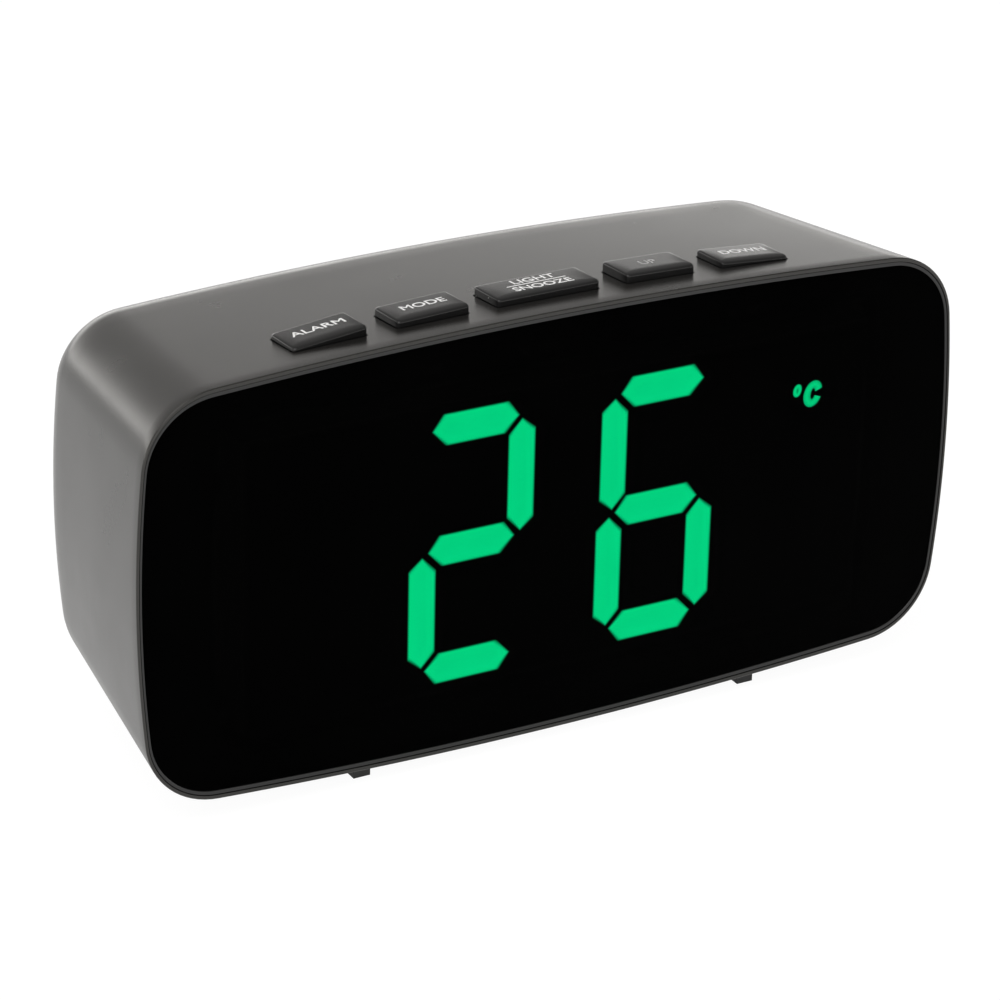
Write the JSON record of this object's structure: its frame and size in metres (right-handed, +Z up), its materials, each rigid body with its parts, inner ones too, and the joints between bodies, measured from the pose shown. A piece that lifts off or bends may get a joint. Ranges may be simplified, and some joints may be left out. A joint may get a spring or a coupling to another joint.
{
  "type": "alarm clock",
  "caption": "Bowed, tapered desk alarm clock with a black lens over a green segment display, push buttons along the top edge, and a battery door and power inlet at the back.",
  "frame": {"origin": "on the surface the clock stands on, under the middle of its box", "axes": "+X to the right seen from the front, +Y from the display to the back, +Z up; the display faces -Y"},
  "size_m": [0.16, 0.058, 0.0818],
  "materials": {
    "case_plastic": "dark grey-black moulded plastic, satin to semi-gloss",
    "rim_plastic": "black moulded plastic, semi-gloss",
    "lens_acrylic": "near-black tinted acrylic, polished",
    "button_plastic": "black moulded plastic, semi-gloss, with white printed function words",
    "foot_rubber": "matt black",
    "black_plastic": "black moulded, matt",
    "white_plastic": "white moulded, matt",
    "display_film": "masked translucent film, lit green where a bar is on",
    "led_resin": "cast resin",
    "circuit_board": "green solder mask over glass fibre",
    "plated_steel": "nickel-plated steel",
    "ribbon_plastic": "grey flat cable",
    "wire_plastic": "red and black insulated wire",
    "cell_wrap": "plain shrink sleeve with no markings"
  },
  "bodies": {
    "case": {"housing": "case_plastic", "front_frame": "rim_plastic", "front_lens": "lens_acrylic", "foot_rails": "foot_rubber", "key_board": "circuit_board", "key_switches": "plated_steel", "key_board_screws": "plated_steel", "light_box": "white_plastic", "diffuser_film": "display_film", "display_board": "circuit_board", "segment_leds": "led_resin", "digit_drivers": "black_plastic", "display_screws": "plated_steel", "main_board": "circuit_board", "main_board_screws": "plated_steel", "controller_chip": "black_plastic", "quartz_crystal": "plated_steel", "buzzer": "black_plastic", "power_socket": "black_plastic", "socket_pin": "plated_steel", "thermistor": "led_resin", "capacitors": "cell_wrap", "small_components": "black_plastic", "board_connectors": "white_plastic", "display_ribbon": "ribbon_plastic", "key_ribbon": "ribbon_plastic", "battery_wires": "wire_plastic", "battery_cells": "cell_wrap", "spring_contacts": "plated_steel", "flat_contacts": "plated_steel"},
    "alarm_key": {"alarm_button": "button_plastic", "alarm_plunger": "black_plastic"},
    "mode_key": {"mode_button": "button_plastic", "mode_plunger": "black_plastic"},
    "snooze_key": {"snooze_button": "button_plastic", "snooze_plunger": "black_plastic"},
    "up_key": {"up_button": "button_plastic", "up_plunger": "black_plastic"},
    "down_key": {"down_button": "button_plastic", "down_plunger": "black_plastic"},
    "door": {"battery_door": "case_plastic"}
  },
  "joints": [
    {"name": "alarm_press", "type": "slide", "parent": "case", "child": "alarm_key", "axis": [0, 0, -1], "range_m": [0, 0.0006], "stiffness_N_per_m": 1500},
    {"name": "mode_press", "type": "slide", "parent": "case", "child": "mode_key", "axis": [0, 0, -1], "range_m": [0, 0.0006], "stiffness_N_per_m": 1500},
    {"name": "snooze_press", "type": "slide", "parent": "case", "child": "snooze_key", "axis": [0, 0, -1], "range_m": [0, 0.0006], "stiffness_N_per_m": 1500},
    {"name": "up_press", "type": "slide", "parent": "case", "child": "up_key", "axis": [0, 0, -1], "range_m": [0, 0.0006], "stiffness_N_per_m": 1500},
    {"name": "down_press", "type": "slide", "parent": "case", "child": "down_key", "axis": [0, 0, -1], "range_m": [0, 0.0006], "stiffness_N_per_m": 1500},
    {"name": "door_off", "type": "slide", "parent": "case", "child": "door", "axis": [0, 1, 0], "range_m": [0, 0.024]}
  ]
}
